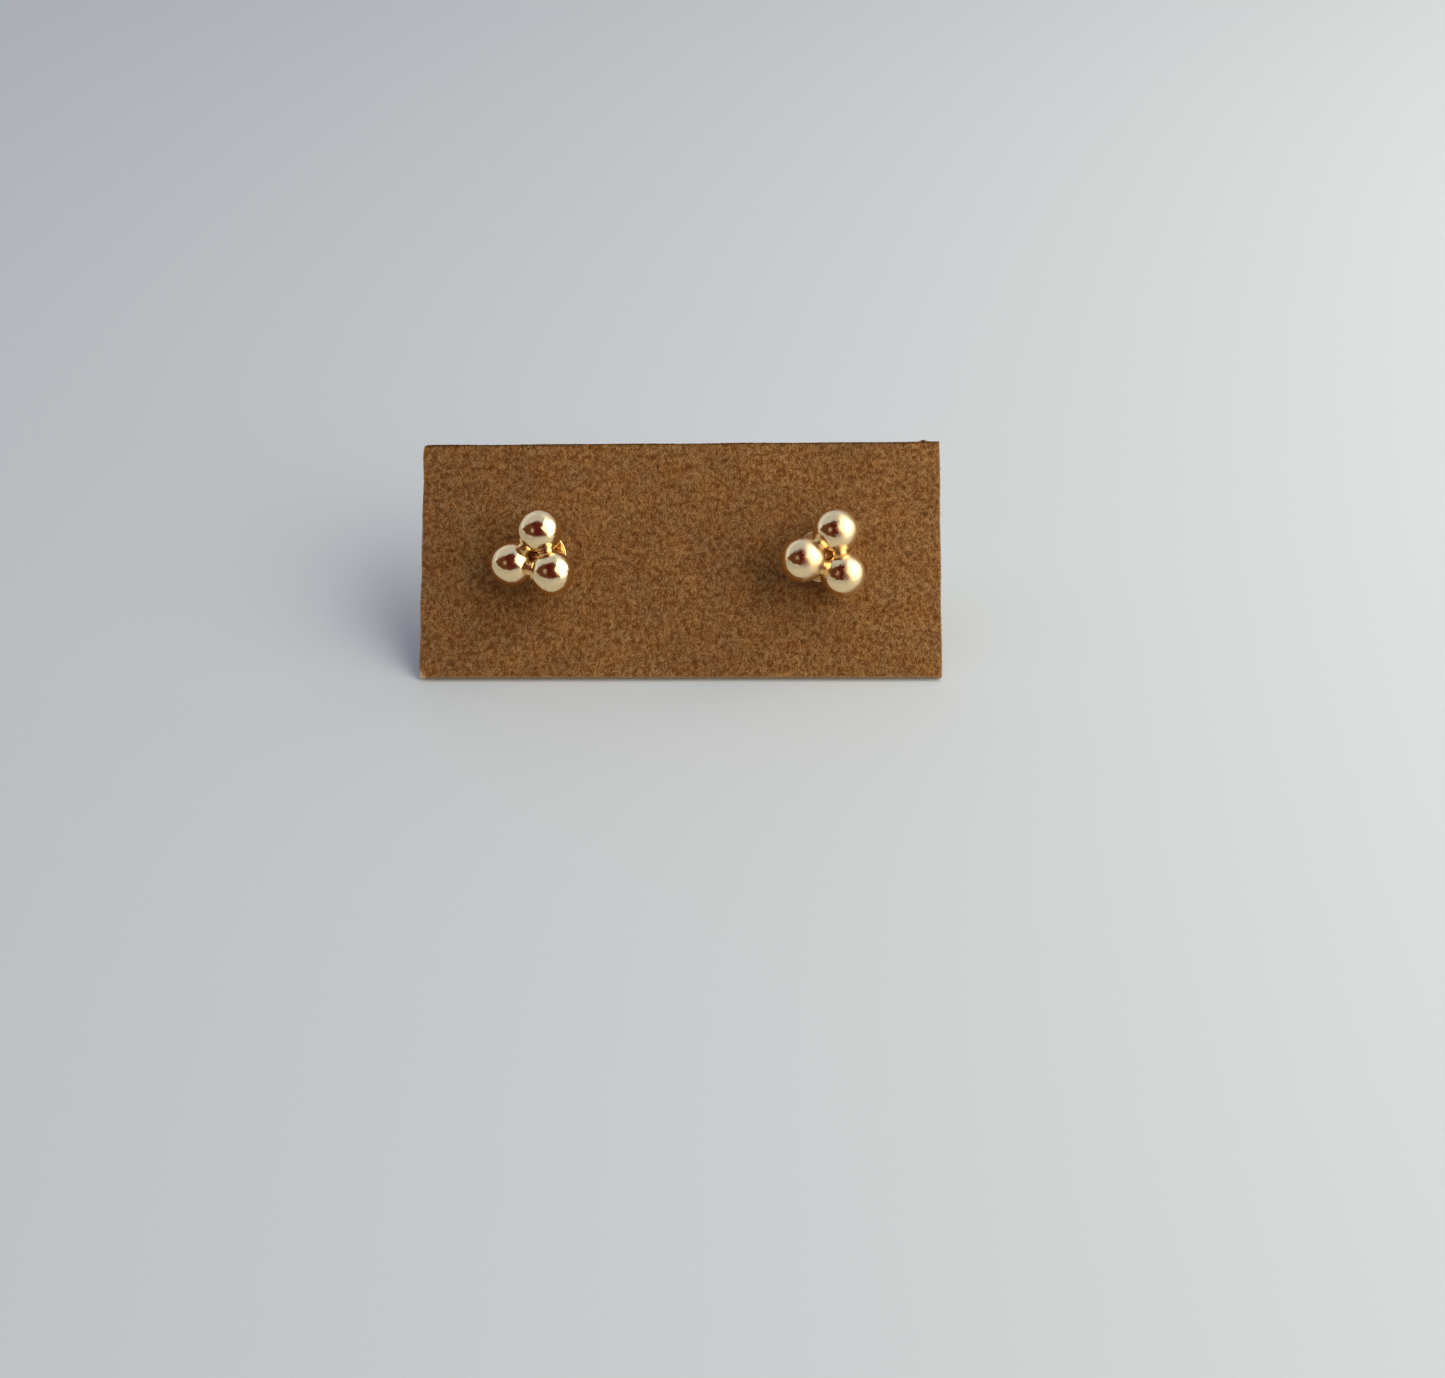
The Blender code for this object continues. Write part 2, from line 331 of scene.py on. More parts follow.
def stud_field(side):
    """Balls, pad and post as one distance field, with the solder as a soft fillet where they meet."""
    middles = seats(side)
    seed = STUD_WAVES["seed"] + STUDS[side]["hand"]
    wave = waves(seed, STUD_WAVES["count"], STUD_WAVES["length"])
    pool_middle = (0.0, 0.0, BALL_HEIGHT - POOL["below"])

    def field(points):
        uneven = STUD_WAVES["size"] * unevenness(points, wave)
        pad = rounded_disc(points, PAD_RADIUS, PAD_BACK, PAD_FRONT, PAD_EDGE)
        from_notch = points[:, 2] - (POST_TIP + NOTCH_FROM_TIP)
        notch = NOTCH_DEPTH * np.exp(-(from_notch / (NOTCH_SPREAD * NOTCH_WIDTH)) ** 4)
        post = rounded_disc(points, POST_RADIUS, POST_TIP, POST_HEAD, TIP_EDGE)
        body = blend_min(pad, post + notch, POST_FILLET)
        balls = None
        for middle in middles:
            ball = np.linalg.norm(points - middle, axis=1) - BALL_RADIUS
            balls = ball if balls is None else blend_min(balls, ball, SOLDER)
        pool = np.linalg.norm(points - pool_middle, axis=1) - POOL["radius"]
        body = blend_min(blend_min(body, pool, BALL_FILLET), balls, BALL_FILLET)
        return body - uneven * soft_step(*TIP_SMOOTH, points[:, 2] - POST_TIP)

    return field


def stud_shapes(side):
    """Closed shapes that fill the stud, for the casting."""
    middles = seats(side)
    pad = [(PAD_RADIUS, PAD_BACK), (PAD_RADIUS, PAD_FRONT)]
    post = [(POST_RADIUS, POST_TIP), (POST_RADIUS, POST_HEAD)]
    shapes = [turned(pad, 64), turned(post, 32)]
    shapes += [ball_shape(middle, BALL_RADIUS) for middle in middles]
    shapes.append(ball_shape((0.0, 0.0, BALL_HEIGHT - POOL["below"]), POOL["radius"]))
    for i, start in enumerate(middles):
        stop = middles[(i + 1) % BALL_COUNT]
        turn = Vector(stop - start).to_track_quat("Z", "Y").to_matrix().to_4x4()
        place = Matrix.Translation((start + stop) / 2) @ turn
        rod = [(NECK["radius"], -NECK["half"]), (NECK["radius"], NECK["half"])]
        shapes.append(turned(rod, 24, place))
    return shapes


def wing_line():
    """The curl of a wing, as (x, z) points along the middle of its strip."""
    radius = (NUT_RADIUS - WING_THICKNESS - POST_RADIUS - GRIP_GAP) / 2
    middle_x = NUT_RADIUS - WING_THICKNESS / 2 - radius
    root_z = NUT_FACE - NUT_BASE - WING_PROUD + WING_THICKNESS / 2
    line = [(WING_LEAD, root_z)]
    steps = 48
    for i in range(steps + 1):
        share = i / steps
        angle = math.pi / 2 - WING_TURN * share
        r = radius * (1.0 - WING_CLOSING * share)
        line.append((middle_x + r * math.cos(angle), root_z - radius + r * math.sin(angle)))
    return np.array(line)


def nut_field():
    """The ear nut's base, hub and two curled wings as one distance field."""
    line = wing_line()
    starts, spans = line[:-1], np.diff(line, axis=0)
    lengths = (spans ** 2).sum(axis=1)
    back = NUT_FACE - NUT_BASE
    wave = waves(NUT_WAVES["seed"], NUT_WAVES["count"], NUT_WAVES["length"])

    def wings(points):
        flat = np.stack((np.abs(points[:, 0]), points[:, 2]), axis=1)
        best = np.full(len(points), 1e9)
        for start, span, length in zip(starts, spans, lengths):
            share = np.clip(((flat - start) @ span) / length, 0.0, 1.0)
            near = np.hypot(*(flat - start - share[:, None] * span).T)
            best = np.minimum(best, near)
        out = best - (WING_THICKNESS / 2 - WING_EDGE)
        side = np.abs(points[:, 1]) - (WING_WIDTH / 2 - WING_EDGE)
        outside = np.hypot(np.maximum(out, 0.0), np.maximum(side, 0.0))
        return np.minimum(np.maximum(out, side), 0.0) + outside - WING_EDGE

    def field(points):
        base = rounded_disc(points, NUT_RADIUS, back, NUT_FACE, NUT_EDGE)
        hub = rounded_disc(points, NUT_HUB, back - NUT_HUB_RISE, NUT_FACE, NUT_EDGE)
        body = blend_min(blend_min(base, hub, HUB_FILLET), wings(points), WING_FILLET)
        bore = POST_RADIUS + GRIP_GAP - np.hypot(points[:, 0], points[:, 1])
        return -blend_min(-body, -bore, WING_FILLET) - NUT_WAVES["size"] * unevenness(points, wave)

    return field


def nut_shapes():
    """Closed shapes that fill the ear nut, with its bore left open."""
    back = NUT_FACE - NUT_BASE
    hole = POST_RADIUS + GRIP_GAP
    ring = [(hole, NUT_FACE), (NUT_RADIUS, NUT_FACE), (NUT_RADIUS, back), (NUT_HUB, back)]
    ring += [(NUT_HUB, back - NUT_HUB_RISE), (hole, back - NUT_HUB_RISE)]
    sides = 64
    verts, faces = turned(ring, sides)
    faces = faces[:-2]
    last = (len(ring) - 1) * sides
    for k in range(sides):
        after = (k + 1) % sides
        faces.append((last + k, last + after, after, k))
    shapes = [(verts, faces)]
    line = wing_line()
    for hand in (-1, 1):
        shapes.append(strip_shape(line, hand))
    return shapes


def strip_shape(line, hand):
    """A wing as a closed strip across the nut."""
    tangents = np.gradient(line, axis=0)
    tangents /= np.linalg.norm(tangents, axis=1)[:, None]
    across = np.stack((-tangents[:, 1], tangents[:, 0]), axis=1) * WING_THICKNESS / 2
    verts, faces = [], []
    half = WING_WIDTH / 2
    for point, offset in zip(line, across):
        for sign, y in ((1, -half), (1, half), (-1, half), (-1, -half)):
            x, z = point + sign * offset
            verts.append((hand * x, y, z))
    for i in range(len(line) - 1):
        for k in range(4):
            after = (k + 1) % 4
            faces.append((4 * i + k, 4 * i + after, 4 * i + 4 + after, 4 * i + 4 + k))
    end = 4 * (len(line) - 1)
    faces += [(3, 2, 1, 0), (end, end + 1, end + 2, end + 3)]
    return verts, faces


# The card

CARD_PITCH = 0.16  # between points of the card's faces
HOLE_SNAP = 0.75  # of the pitch: grid points this near a hole's edge are moved onto it
EDGE_ROWS = 4
EDGE_BAND = 1.2  # how far in from a cut edge its wander is felt
EDGE_ROUNDING = {"depth": 0.02, "reach": 0.10}
EDGE_BULGE = 0.018
EDGE_ROUGHNESS = 0.010
PALE_EDGE = 0.09  # how far in from a cut edge the card is paler
# How each cut edge wanders: the seed, the lengths of the waves and their size
FINE_WAVES = (0.35, 0.55, 0.9, 1.7)
LEFT_WANDER = ((1, FINE_WAVES, 0.03), (2, (4.5, 7.0), 0.07))
RIGHT_WANDER = ((3, FINE_WAVES, 0.03), (4, (8.0,), 0.03))
LOWER_WANDER = ((5, FINE_WAVES, 0.02),)
UPPER_WANDER = ((6, FINE_WAVES, 0.02), (7, (9.0, 15.0), 0.03))
BURR = {"from_end": 1.44, "width": 0.30, "height": 0.16}
ROUNDED_CORNER = {"reach": 0.32, "pull": 0.09}
# Slow waves of the front face: their slant, seed, lengths and height
FRONT_WAVES = {"rising": (0.6, 11, (3.1, 5.3, 8.7), 0.012), "falling": (0.4, 12, (2.7, 6.1), 0.010)}
# The torn corner: its reach along the lower edge, its slope, how sharply it starts, and its depth.
# Waves make its rim ragged: their size, and how fast they run.
CHIP = {"reach": 0.66, "slope": 0.9, "softness": 0.75, "depth": 0.10}
CHIP_WAVES = {"along": (0.10, 17.0), "up": (0.07, 23.0)}


def wander(values, seed, lengths, size):
    """An uneven line: the sum of waves of the given lengths along it."""
    rng = np.random.default_rng(seed)
    total = np.zeros_like(values)
    for length in lengths:
        total += np.sin(values * 2 * math.pi / length + rng.uniform(0, 2 * math.pi)) * rng.uniform(0.6, 1.0)
    return size * total / len(lengths)


def edge_offsets(u, v):
    """How far the cut edges wander from straight, as shifts in u and v."""
    half = CARD_WIDTH / 2

    def near(distance):
        return 1.0 - soft_step(0.0, EDGE_BAND, distance)

    def wandering(values, rows):
        return sum(wander(values, *row) for row in rows)

    near_high = near(CARD_HEIGHT - v)
    shift_u = near(u + half) * wandering(v, LEFT_WANDER)
    shift_u += near(half - u) * wandering(v, RIGHT_WANDER)
    shift_v = near(v) * wandering(u, LOWER_WANDER)
    shift_v += near_high * wandering(u, UPPER_WANDER)
    # A burr on the upper edge near its right end
    from_burr = u - (half - BURR["from_end"])
    shift_v += near_high * BURR["height"] * np.exp(-(from_burr / BURR["width"]) ** 2)
    # The rounded upper left corner
    from_corner = np.hypot(u + half, CARD_HEIGHT - v)
    pull = ROUNDED_CORNER["pull"] * np.exp(-(from_corner / ROUNDED_CORNER["reach"]) ** 2)
    return shift_u + pull, shift_v - pull


def studs_on_card():
    """Where each stud's post pierces the card, as (u, v)."""
    return {
        side: (s["hand"] * (CARD_WIDTH / 2 - s["from_end"]), HOLE_HEIGHT) for side, s in STUDS.items()
    }


# The shallow dimple about each stud: its middle from the post's hole, its radius, its depth,
# and the way that the crisp part of its rim faces, where a raised lip and a painted highlight run
DIMPLES = {
    "left": {"offset": (0.45, 0.15), "radius": 2.95, "depth": 0.11, "crisp": math.radians(38.0)},
    "right": {"offset": (-0.10, 0.0), "radius": 3.00, "depth": 0.08, "crisp": math.radians(150.0)},
}
RIM_WIDTH = {"soft": 1.1, "crisper": 0.8}  # where the rim is soft, and how much less where it is crisp
LIP = {"width": 0.10, "height": 0.028}  # the raised line along the crisp part
DIMPLE_WOBBLE = 0.05  # how far a dimple is from round


def front_relief(u, v):
    """The front face's height, and how strongly each point lies on a dimple's crisp rim, which is the mask
    of a painted highlight.
    """
    rng = np.random.default_rng(SEED)
    slant, seed, lengths, size = FRONT_WAVES["rising"]
    height = size * wander(u + slant * v, seed, lengths, 1.0)
    slant, seed, lengths, size = FRONT_WAVES["falling"]
    height += size * wander(v - slant * u, seed, lengths, 1.0)
    rim = np.zeros_like(u)
    for side, (hole_u, hole_v) in studs_on_card().items():
        dimple = DIMPLES[side]
        du, dv = u - hole_u - dimple["offset"][0], v - hole_v - dimple["offset"][1]
        angle = np.arctan2(dv, du)
        out = np.hypot(du, dv) + DIMPLE_WOBBLE * np.sin(3 * angle + rng.uniform(0, 6.0))
        facing = 0.5 + 0.5 * np.cos(angle - dimple["crisp"])
        width = RIM_WIDTH["soft"] - RIM_WIDTH["crisper"] * facing ** 3
        height -= dimple["depth"] * (1.0 - soft_step(dimple["radius"] - width, dimple["radius"], out))
        # The raised lip along the crisp part of the rim; its strength is also the mask of a painted
        # highlight on the card's colour
        lip = np.exp(-((out - dimple["radius"]) / LIP["width"]) ** 2) * facing ** 9
        height += LIP["height"] * lip
        rim += lip
    return height, rim


def chip(u, v):
    """1 where the lower left corner's front layer is torn away, and 0 elsewhere."""
    along = u + CARD_WIDTH / 2
    (size_along, rate_along), (size_up, rate_up) = CHIP_WAVES["along"], CHIP_WAVES["up"]
    reach = CHIP["reach"] + size_along * np.sin(along * rate_along) + size_up * np.sin(v * rate_up + 1.0)
    return 1.0 - soft_step(CHIP["softness"] * reach, reach, along + CHIP["slope"] * v)


def card_mesh():
    """Front and back faces on a fine grid, pierced for the posts, with an uneven cut edge between them."""
    across = round(CARD_WIDTH / CARD_PITCH)
    up = round(CARD_HEIGHT / CARD_PITCH)
    u_line = np.linspace(-CARD_WIDTH / 2, CARD_WIDTH / 2, across + 1)
    v_line = np.linspace(0.0, CARD_HEIGHT, up + 1)
    u, v = (a.ravel() for a in np.meshgrid(u_line, v_line))
    u_drawn, v_drawn = drawn_to_holes(u, v)
    shift_u, shift_v = edge_offsets(u_drawn, v_drawn)
    height, rim = front_relief(u_drawn, v_drawn)
    torn = chip(u_drawn, v_drawn)
    at_edge = np.minimum(
        np.minimum(u_drawn + CARD_WIDTH / 2, CARD_WIDTH / 2 - u_drawn),
        np.minimum(v_drawn, CARD_HEIGHT - v_drawn),
    )
    rounding = EDGE_ROUNDING["depth"] * np.exp(-at_edge / EDGE_ROUNDING["reach"])
    front_w = height - CHIP["depth"] * torn - rounding
    back_w = np.full_like(u, -CARD_THICKNESS) + rounding
    front = np.stack((u_drawn + shift_u, v_drawn + shift_v, front_w), axis=1)
    back = np.stack((u_drawn + shift_u, v_drawn + shift_v, back_w), axis=1)
    edge = np.exp(-at_edge / PALE_EDGE)

    columns = across + 1
    count = len(u)
    keep = np.ones((up, across), dtype=bool)
    mid_u = (u_line[:-1] + u_line[1:]) / 2
    mid_v = (v_line[:-1] + v_line[1:]) / 2
    for hole_u, hole_v in studs_on_card().values():
        away = np.hypot(mid_u[None, :] - hole_u, mid_v[:, None] - hole_v)
        keep &= away > HOLE_RADIUS
    faces = []
    for row, column in zip(*np.nonzero(keep)):
        a = row * columns + column
        b, c, d = a + 1, a + columns + 1, a + columns
        faces.append((a, b, c, d))
        faces.append((count + d, count + c, count + b, count + a))

    points = np.concatenate((front, back))
    marks = {
        "edge": np.concatenate((edge, edge)),
        # rim: the mask of a painted highlight along the dimples' crisp rims
        "rim": np.concatenate((rim, np.zeros(count))),
        "torn": np.concatenate((torn, np.zeros(count))),
    }
    return stitched(points, faces, marks, count)


def drawn_to_holes(u, v):
    """Moves the grid points that are next to a post's hole onto its round edge."""
    u, v = u.copy(), v.copy()
    for hole_u, hole_v in studs_on_card().values():
        du, dv = u - hole_u, v - hole_v
        away = np.maximum(np.hypot(du, dv), 1e-6)
        near = np.abs(away - HOLE_RADIUS) < HOLE_SNAP * CARD_PITCH
        scale = np.where(near, HOLE_RADIUS / away, 1.0)
        u, v = hole_u + du * scale, hole_v + dv * scale
    return u, v


def stitched(points, faces, marks, count):
    """Joins the front's open rims to the back's by rows of edge faces, and drops unused points."""
    seen = {}
    for face in faces:
        if face[0] >= count:
            continue
        for one, two in zip(face, face[1:] + face[:1]):
            seen[(one, two)] = True
    rims = [pair for pair in seen if (pair[1], pair[0]) not in seen]
    on_rim = sorted({i for pair in rims for i in pair})
    rows = {i: [i] for i in on_rim}
    rng = np.random.default_rng(SEED + 3)
    extra_points, extra_marks = [], {name: [] for name in marks}
    for step in range(1, EDGE_ROWS):
        share = step / EDGE_ROWS
        for i in on_rim:
            front, back = points[i], points[i + count]
            outwards = rim_direction(front)
            bulge = EDGE_BULGE * math.sin(math.pi * share) + rng.normal(0.0, EDGE_ROUGHNESS)
            place = front + (back - front) * share + outwards * bulge
            rows[i].append(len(points) + len(extra_points))
            extra_points.append(place)
            for name in marks:
                fading = float(marks[name][i]) * (1.0 - share)
                extra_marks[name].append(1.0 if name == "edge" else fading)
    for i in on_rim:
        rows[i].append(i + count)
    for one, two in rims:
        for step in range(EDGE_ROWS):
            faces.append((rows[two][step], rows[one][step], rows[one][step + 1], rows[two][step + 1]))
    points = np.concatenate((points, np.array(extra_points)))
    marks = {name: np.concatenate((marks[name], np.array(extra_marks[name]))) for name in marks}
    used = np.zeros(len(points), dtype=bool)
    used[np.array([i for face in faces for i in face])] = True
    renumber = np.cumsum(used) - 1
    faces = [tuple(int(renumber[i]) for i in face) for face in faces]
    return points[used], faces, {name: values[used] for name, values in marks.items()}


def rim_direction(point):
    """Out of the card's cut edge at a point, in its plane, and nothing at the posts' holes."""
    half = CARD_WIDTH / 2
    gaps = {
        (-1.0, 0.0, 0.0): point[0] + half,
        (1.0, 0.0, 0.0): half - point[0],
        (0.0, -1.0, 0.0): point[1],
        (0.0, 1.0, 0.0): CARD_HEIGHT - point[1],
    }
    way = min(gaps, key=gaps.get)
    return np.array(way) if gaps[way] < 0.5 else np.zeros(3)


def make_card(material):
    """The kraft card, in place of the plain one."""
    points, faces, marks = card_mesh()
    mesh = bpy.data.meshes.new("kraft_card")
    mesh.from_pydata(in_frame(points, CARD_FRAME).tolist(), [], faces)
    keep_places(mesh, points)
    for name, values in marks.items():
        attribute = mesh.attributes.new(name, "FLOAT", "POINT")
        attribute.data.foreach_set("value", values.astype(np.float32))
    mesh.shade_smooth()
    mesh.set_sharp_from_angle(angle=math.radians(50.0))
    place_piece("kraft_card", mesh, material, "card")


FIBRES = {"count": 1500, "sides": 3, "steps": 5, "radius": (0.008, 0.018), "length": (0.4, 1.6)}
FIBRE_HEADING = (math.pi / 2, 0.9)  # most run up the card: the middle heading and its spread
FIBRE_BEND = 1.1
FIBRE_END = 0.45  # of its full thickness
FIBRE_LIFT = 0.2  # of its radius, above the card's face
CLEAR_OF_STUD = 2.6
CLEAR_OF_EDGE = 0.1
FUZZ = {"count": 520, "radius": (0.006, 0.012), "length": (0.10, 0.35), "sway": 0.9}
FUZZ_STEPS = (-0.3, 0.0, 0.35, 0.7, 1.0)  # along a hair, from inside the card's edge to its end
FUZZ_OUT = 0.35  # of a hair's length goes straight out, and the rest sways
LOWER_EDGE = 2  # the card stands on this one, so it has no fuzz


def hair(bm, path, radius):
    """A thin closed fibre along a path, thinner at its ends."""
    rings = []
    sides = FIBRES["sides"]
    for i, point in enumerate(path):
        after, before = path[min(i + 1, len(path) - 1)], path[max(i - 1, 0)]
        along = Vector(after - before).normalized()
        one = along.orthogonal().normalized()
        two = along.cross(one)
        fullness = math.sin(math.pi * (i + 0.5) / len(path))
        thick = radius * (FIBRE_END + (1.0 - FIBRE_END) * fullness)
        angles = [2 * math.pi * k / sides for k in range(sides)]
        rings.append(
            [bm.verts.new(Vector(point) + (one * math.cos(a) + two * math.sin(a)) * thick) for a in angles]
        )
    for one, two in zip(rings, rings[1:]):
        for k in range(sides):
            after = (k + 1) % sides
            bm.faces.new((one[k], one[after], two[after], two[k]))
    bm.faces.new(rings[0][::-1])
    bm.faces.new(rings[-1])


def make_fibres(material):
    """Loose fibres on the card's faces, and the fuzz of its cut edges."""
    rng = np.random.default_rng(SEED + 5)
    bm = bmesh.new()
    for _ in range(FIBRES["count"]):
        at = np.array((rng.uniform(-0.49, 0.49) * CARD_WIDTH, rng.uniform(0.02, 0.98) * CARD_HEIGHT))
        if any(math.hypot(at[0] - u, at[1] - v) < CLEAR_OF_STUD for u, v in studs_on_card().values()):
            continue
        heading = rng.normal(*FIBRE_HEADING)
        length = rng.uniform(*FIBRES["length"])
        bend = rng.normal(0.0, FIBRE_BEND)
        path = []
        for step in range(FIBRES["steps"]):
            path.append(at.copy())
            heading += bend / FIBRES["steps"]
            at = at + np.array((math.cos(heading), math.sin(heading))) * length / FIBRES["steps"]
        path = np.array(path)
        if np.abs(path[:, 0]).max() > CARD_WIDTH / 2 - CLEAR_OF_EDGE:
            continue
        if path[:, 1].min() < CLEAR_OF_EDGE or path[:, 1].max() > CARD_HEIGHT - CLEAR_OF_EDGE:
            continue
        radius = rng.uniform(*FIBRES["radius"])
        height, _ = front_relief(path[:, 0], path[:, 1])
        points = np.column_stack((path, height + FIBRE_LIFT * radius))
        hair(bm, points, radius)
    for _ in range(FUZZ["count"]):
        side = rng.integers(0, 4)
        along = rng.uniform(0.01, 0.99)
        w = -rng.uniform(0.05, 0.95) * CARD_THICKNESS
        if side < 2:
            start = np.array(((-0.5 + side) * CARD_WIDTH, along * CARD_HEIGHT, w))
            out = np.array((-1.0 + 2.0 * side, 0.0, 0.0))
        else:
            start = np.array(((along - 0.5) * CARD_WIDTH, (side - 2) * CARD_HEIGHT, w))
            out = np.array((0.0, -1.0 + 2.0 * (side - 2), 0.0))
        if side == LOWER_EDGE:
            continue
        length = rng.uniform(*FUZZ["length"])
        sway = rng.normal(0.0, FUZZ["sway"], size=3) * (1.0 - np.abs(out))
        path = []
        for s in FUZZ_STEPS:
            aside = sway * (1.0 - FUZZ_OUT) * s * (0.5 + s / 2)
            path.append(start + (out * FUZZ_OUT * s + aside) * length)
        hair(bm, np.array(path), rng.uniform(*FUZZ["radius"]))
    bmesh.ops.recalc_face_normals(bm, faces=bm.faces)
    mesh = bpy.data.meshes.new("card_fibres")
    bm.to_mesh(mesh)
    bm.free()
    points = coordinates(mesh)
    keep_places(mesh, points)
    mesh.vertices.foreach_set("co", in_frame(points, CARD_FRAME).astype(np.float32).ravel())
    mesh.update()
    mesh.shade_smooth()
    place_piece("card_fibres", mesh, material)


# Materials


class Nodes:
    """The nodes of a material or of the world, made and joined by short calls."""

    def __init__(self, owner, shader="Principled BSDF"):
        self.owner = owner
        owner.use_nodes = True
        self.tree = owner.node_tree
        self.shader = self.tree.nodes[shader]

    def node(self, kind, inputs=None, **settings):
        """A node of that kind, with settings, and inputs that are values or other nodes' outputs."""
        made = self.tree.nodes.new("ShaderNode" + kind)
        for key, value in settings.items():
            setattr(made, key, value)
        for key, value in (inputs or {}).items():
            self.put(made.inputs[key], value)
        return made

    def put(self, socket, value):
        """Gives an input a value, or joins it to another node's output."""
        if isinstance(value, bpy.types.NodeSocket):
            self.tree.links.new(value, socket)
        else:
            socket.default_value = value

    def place(self):
        """The piece's own coordinates in millimetres."""
        return self.node("Attribute", attribute_name="place_mm").outputs["Vector"]

    def mark(self, name):
        """A number kept at each point of the mesh."""
        return self.node("Attribute", attribute_name=name).outputs["Fac"]

    def noise(self, vector, scale, detail=2.0, rough=0.5):
        """A cloud of numbers about 0.5, of that many clouds to a millimetre."""
        inputs = {"Vector": vector, "Scale": scale, "Detail": detail, "Roughness": rough}
        return self.node("TexNoise", inputs).outputs["Fac"]

    def add(self, one, two):
        """Two directions or places added."""
        return self.node("VectorMath", {0: one, 1: two}, operation="ADD").outputs[0]

    def shaken(self, vector, scale, detail, size):
        """Coordinates moved about by a cloud, by up to about half that size."""
        cloud = self.node("TexNoise", {"Vector": vector, "Scale": scale, "Detail": detail}).outputs["Color"]
        middle = {0: cloud, 1: (0.5, 0.5, 0.5)}
        shift = self.node("VectorMath", middle, operation="SUBTRACT").outputs[0]
        shift = self.node("VectorMath", {0: shift, "Scale": size}, operation="SCALE").outputs[0]
        return self.add(vector, shift)

    def stretched(self, vector, angle, along, across):
        """Coordinates turned in the card's plane and scaled, for strokes that lie at an angle."""
        turned_place = self.node("Mapping", {"Vector": vector, "Rotation": (0.0, 0.0, -angle)})
        scale = (along, across, along)
        return self.node("Mapping", {"Vector": turned_place.outputs[0], "Scale": scale}).outputs[0]

    def ramp(self, value, low, high, start=0.0, stop=1.0):
        """A value carried from one range to another, and kept within it."""
        inputs = {"Value": value, "From Min": low, "From Max": high, "To Min": start, "To Max": stop}
        return self.node("MapRange", inputs).outputs[0]

    def step(self, value, low, high):
        """0 below low, 1 above high, and smooth between."""
        inputs = {"Value": value, "From Min": low, "From Max": high}
        return self.node("MapRange", inputs, interpolation_type="SMOOTHSTEP").outputs[0]

    def distance(self, one, two):
        """How far apart two numbers are."""
        return self.math("ABSOLUTE", self.math("SUBTRACT", one, two))

    def dot(self, one, two):
        """How far one direction goes along another."""
        return self.node("VectorMath", {0: one, 1: two}, operation="DOT_PRODUCT").outputs["Value"]

    def math(self, operation, one, two=0.0):
        """One step of arithmetic."""
        return self.node("Math", {0: one, 1: two}, operation=operation).outputs[0]

    def times(self, one, two):
        """Two numbers multiplied."""
        return self.math("MULTIPLY", one, two)

    def strongest(self, values):
        """The greatest of several numbers."""
        best = values[0]
        for value in values[1:]:
            best = self.math("MAXIMUM", best, value)
        return best

    def mix(self, share, one, two, blend="MIX"):
        """Two colours mixed. The inputs and the output for colours are the Mix node's numbered ones."""
        made = self.node("Mix", data_type="RGBA", blend_type=blend)
        for number, value in ((0, share), (6, one), (7, two)):
            self.put(made.inputs[number], value)
        return made.outputs[2]

    def bump(self, height, strength, distance):
        """A bump whose height is given in metres when the input is 1."""
        inputs = {"Height": height, "Strength": strength, "Distance": distance}
        return self.node("Bump", inputs).outputs[0]

    def set(self, **inputs):
        """The shader's own inputs, by name with _ for a space."""
        for key, value in inputs.items():
            self.put(self.shader.inputs[key.replace("_", " ")], value)


# How much rougher each stud is on the side that faces right, and where across it that starts
SATIN = {"left": 0.06, "right": 0.24}
SATIN_EDGE = (-0.12, 0.10)
SATIN_RAGGED = 0.12
STUD_COLOUR = (0.91, 0.70, 0.40)
STUD_ROUGHNESS = 0.06
NUT_COLOUR = (0.92, 0.76, 0.44)
NUT_ROUGHNESS = 0.14
DEEPER = (0.93, 0.84, 0.70)  # the gold's deeper patches, against its own colour
DENT_DEPTH = 0.000018  # in metres
SMALL_DENTS = 0.30  # against the large ones
SCRATCHES = 0.02


def gold_material(name, colour, roughness, satin=0.0):
    """Polished gold plate with a slight haze, fine scratches and a soft unevenness."""
    nodes = Nodes(bpy.data.materials.new(name))
    place = nodes.place()
    cloud = nodes.noise(place, 1.1, 3.0)
    fine = nodes.noise(place, 14.0, 3.0, 0.6)
    scratches = nodes.noise(nodes.stretched(place, 0.6, 0.8, 26.0), 1.0, 2.0, 0.6)
    haze = nodes.ramp(fine, 0.45, 0.75, 0.0, 0.08)
    worn = nodes.math("ADD", nodes.ramp(cloud, 0.35, 0.75, 0.0, 0.06), haze)
    small_dents = nodes.times(nodes.noise(place, 8.0), SMALL_DENTS)
    dents = nodes.math("ADD", nodes.noise(place, 3.0), small_dents)
    dents = nodes.math("ADD", dents, nodes.times(nodes.math("ADD", fine, scratches), SCRATCHES))
    facing_right = nodes.dot(nodes.node("NewGeometry").outputs["Normal"], CARD_RIGHT)
    ragged = nodes.ramp(nodes.noise(place, 5.0), 0.3, 0.7, -SATIN_RAGGED, SATIN_RAGGED)
    side = nodes.math("ADD", facing_right, ragged)
    worn = nodes.math("ADD", worn, nodes.times(nodes.step(side, *SATIN_EDGE), satin))
    pale = (*colour, 1.0)
    deep = (*(part * share for part, share in zip(colour, DEEPER)), 1.0)
    nodes.set(
        Base_Color=nodes.mix(nodes.ramp(cloud, 0.45, 0.75, 0.0, 0.5), pale, deep),
        Metallic=1.0,
        Roughness=nodes.math("ADD", worn, roughness),
        Normal=nodes.bump(dents, 1.0, DENT_DEPTH),
    )
    return nodes.owner
